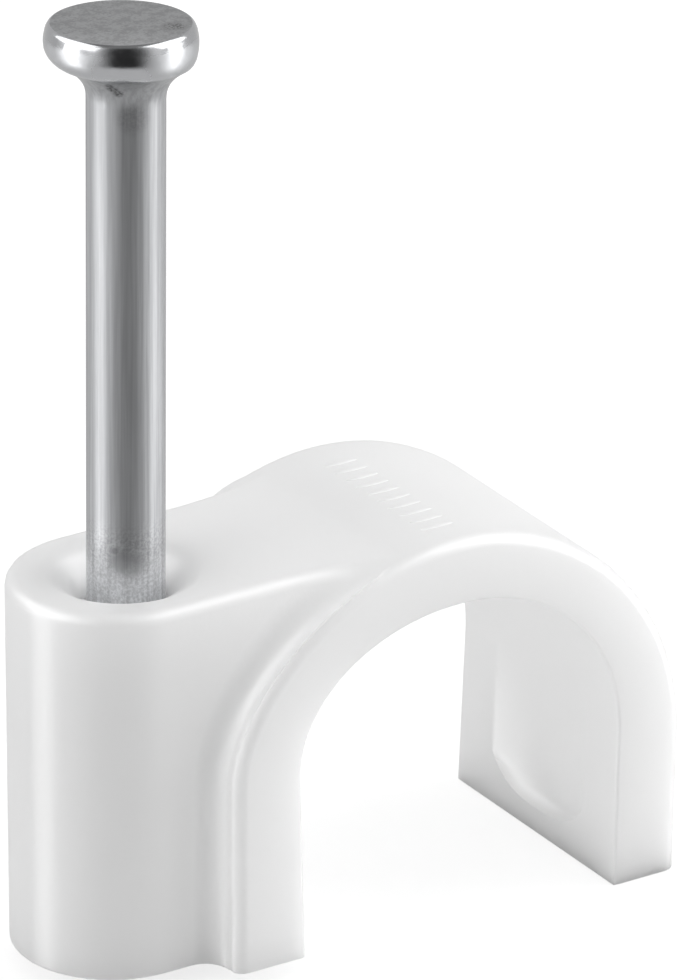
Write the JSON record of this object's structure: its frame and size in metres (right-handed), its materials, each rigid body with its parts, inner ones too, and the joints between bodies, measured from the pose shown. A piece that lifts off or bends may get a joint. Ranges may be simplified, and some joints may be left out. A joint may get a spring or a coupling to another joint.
{
  "type": "nail-in cable clip",
  "caption": "Moulded white saddle that holds a round cable against a wall, open underneath, with a headed steel nail standing in the boss at its side.",
  "frame": {"origin": "under the middle of the whole part, on the plane of the free leg's foot", "axes": "+Z along the nail, from its point to its head; +X from the nail's boss to the free leg; +Y along the cable"},
  "size_m": [0.0176, 0.0074, 0.0256],
  "materials": {
    "moulded_plastic": "satin, slightly translucent polyethylene as it leaves a polished mould",
    "nail_steel": "drawn wire, bright zinc plated, with faint die marks along the shaft"
  },
  "bodies": {
    "clip": {"clip_body": "moulded_plastic"},
    "nail": {"nail": "nail_steel"}
  },
  "joints": [
    {"name": "nail_drive", "type": "slide", "parent": "clip", "child": "nail", "axis": [0, 0, -1], "range_m": [0, 0.0138]}
  ]
}
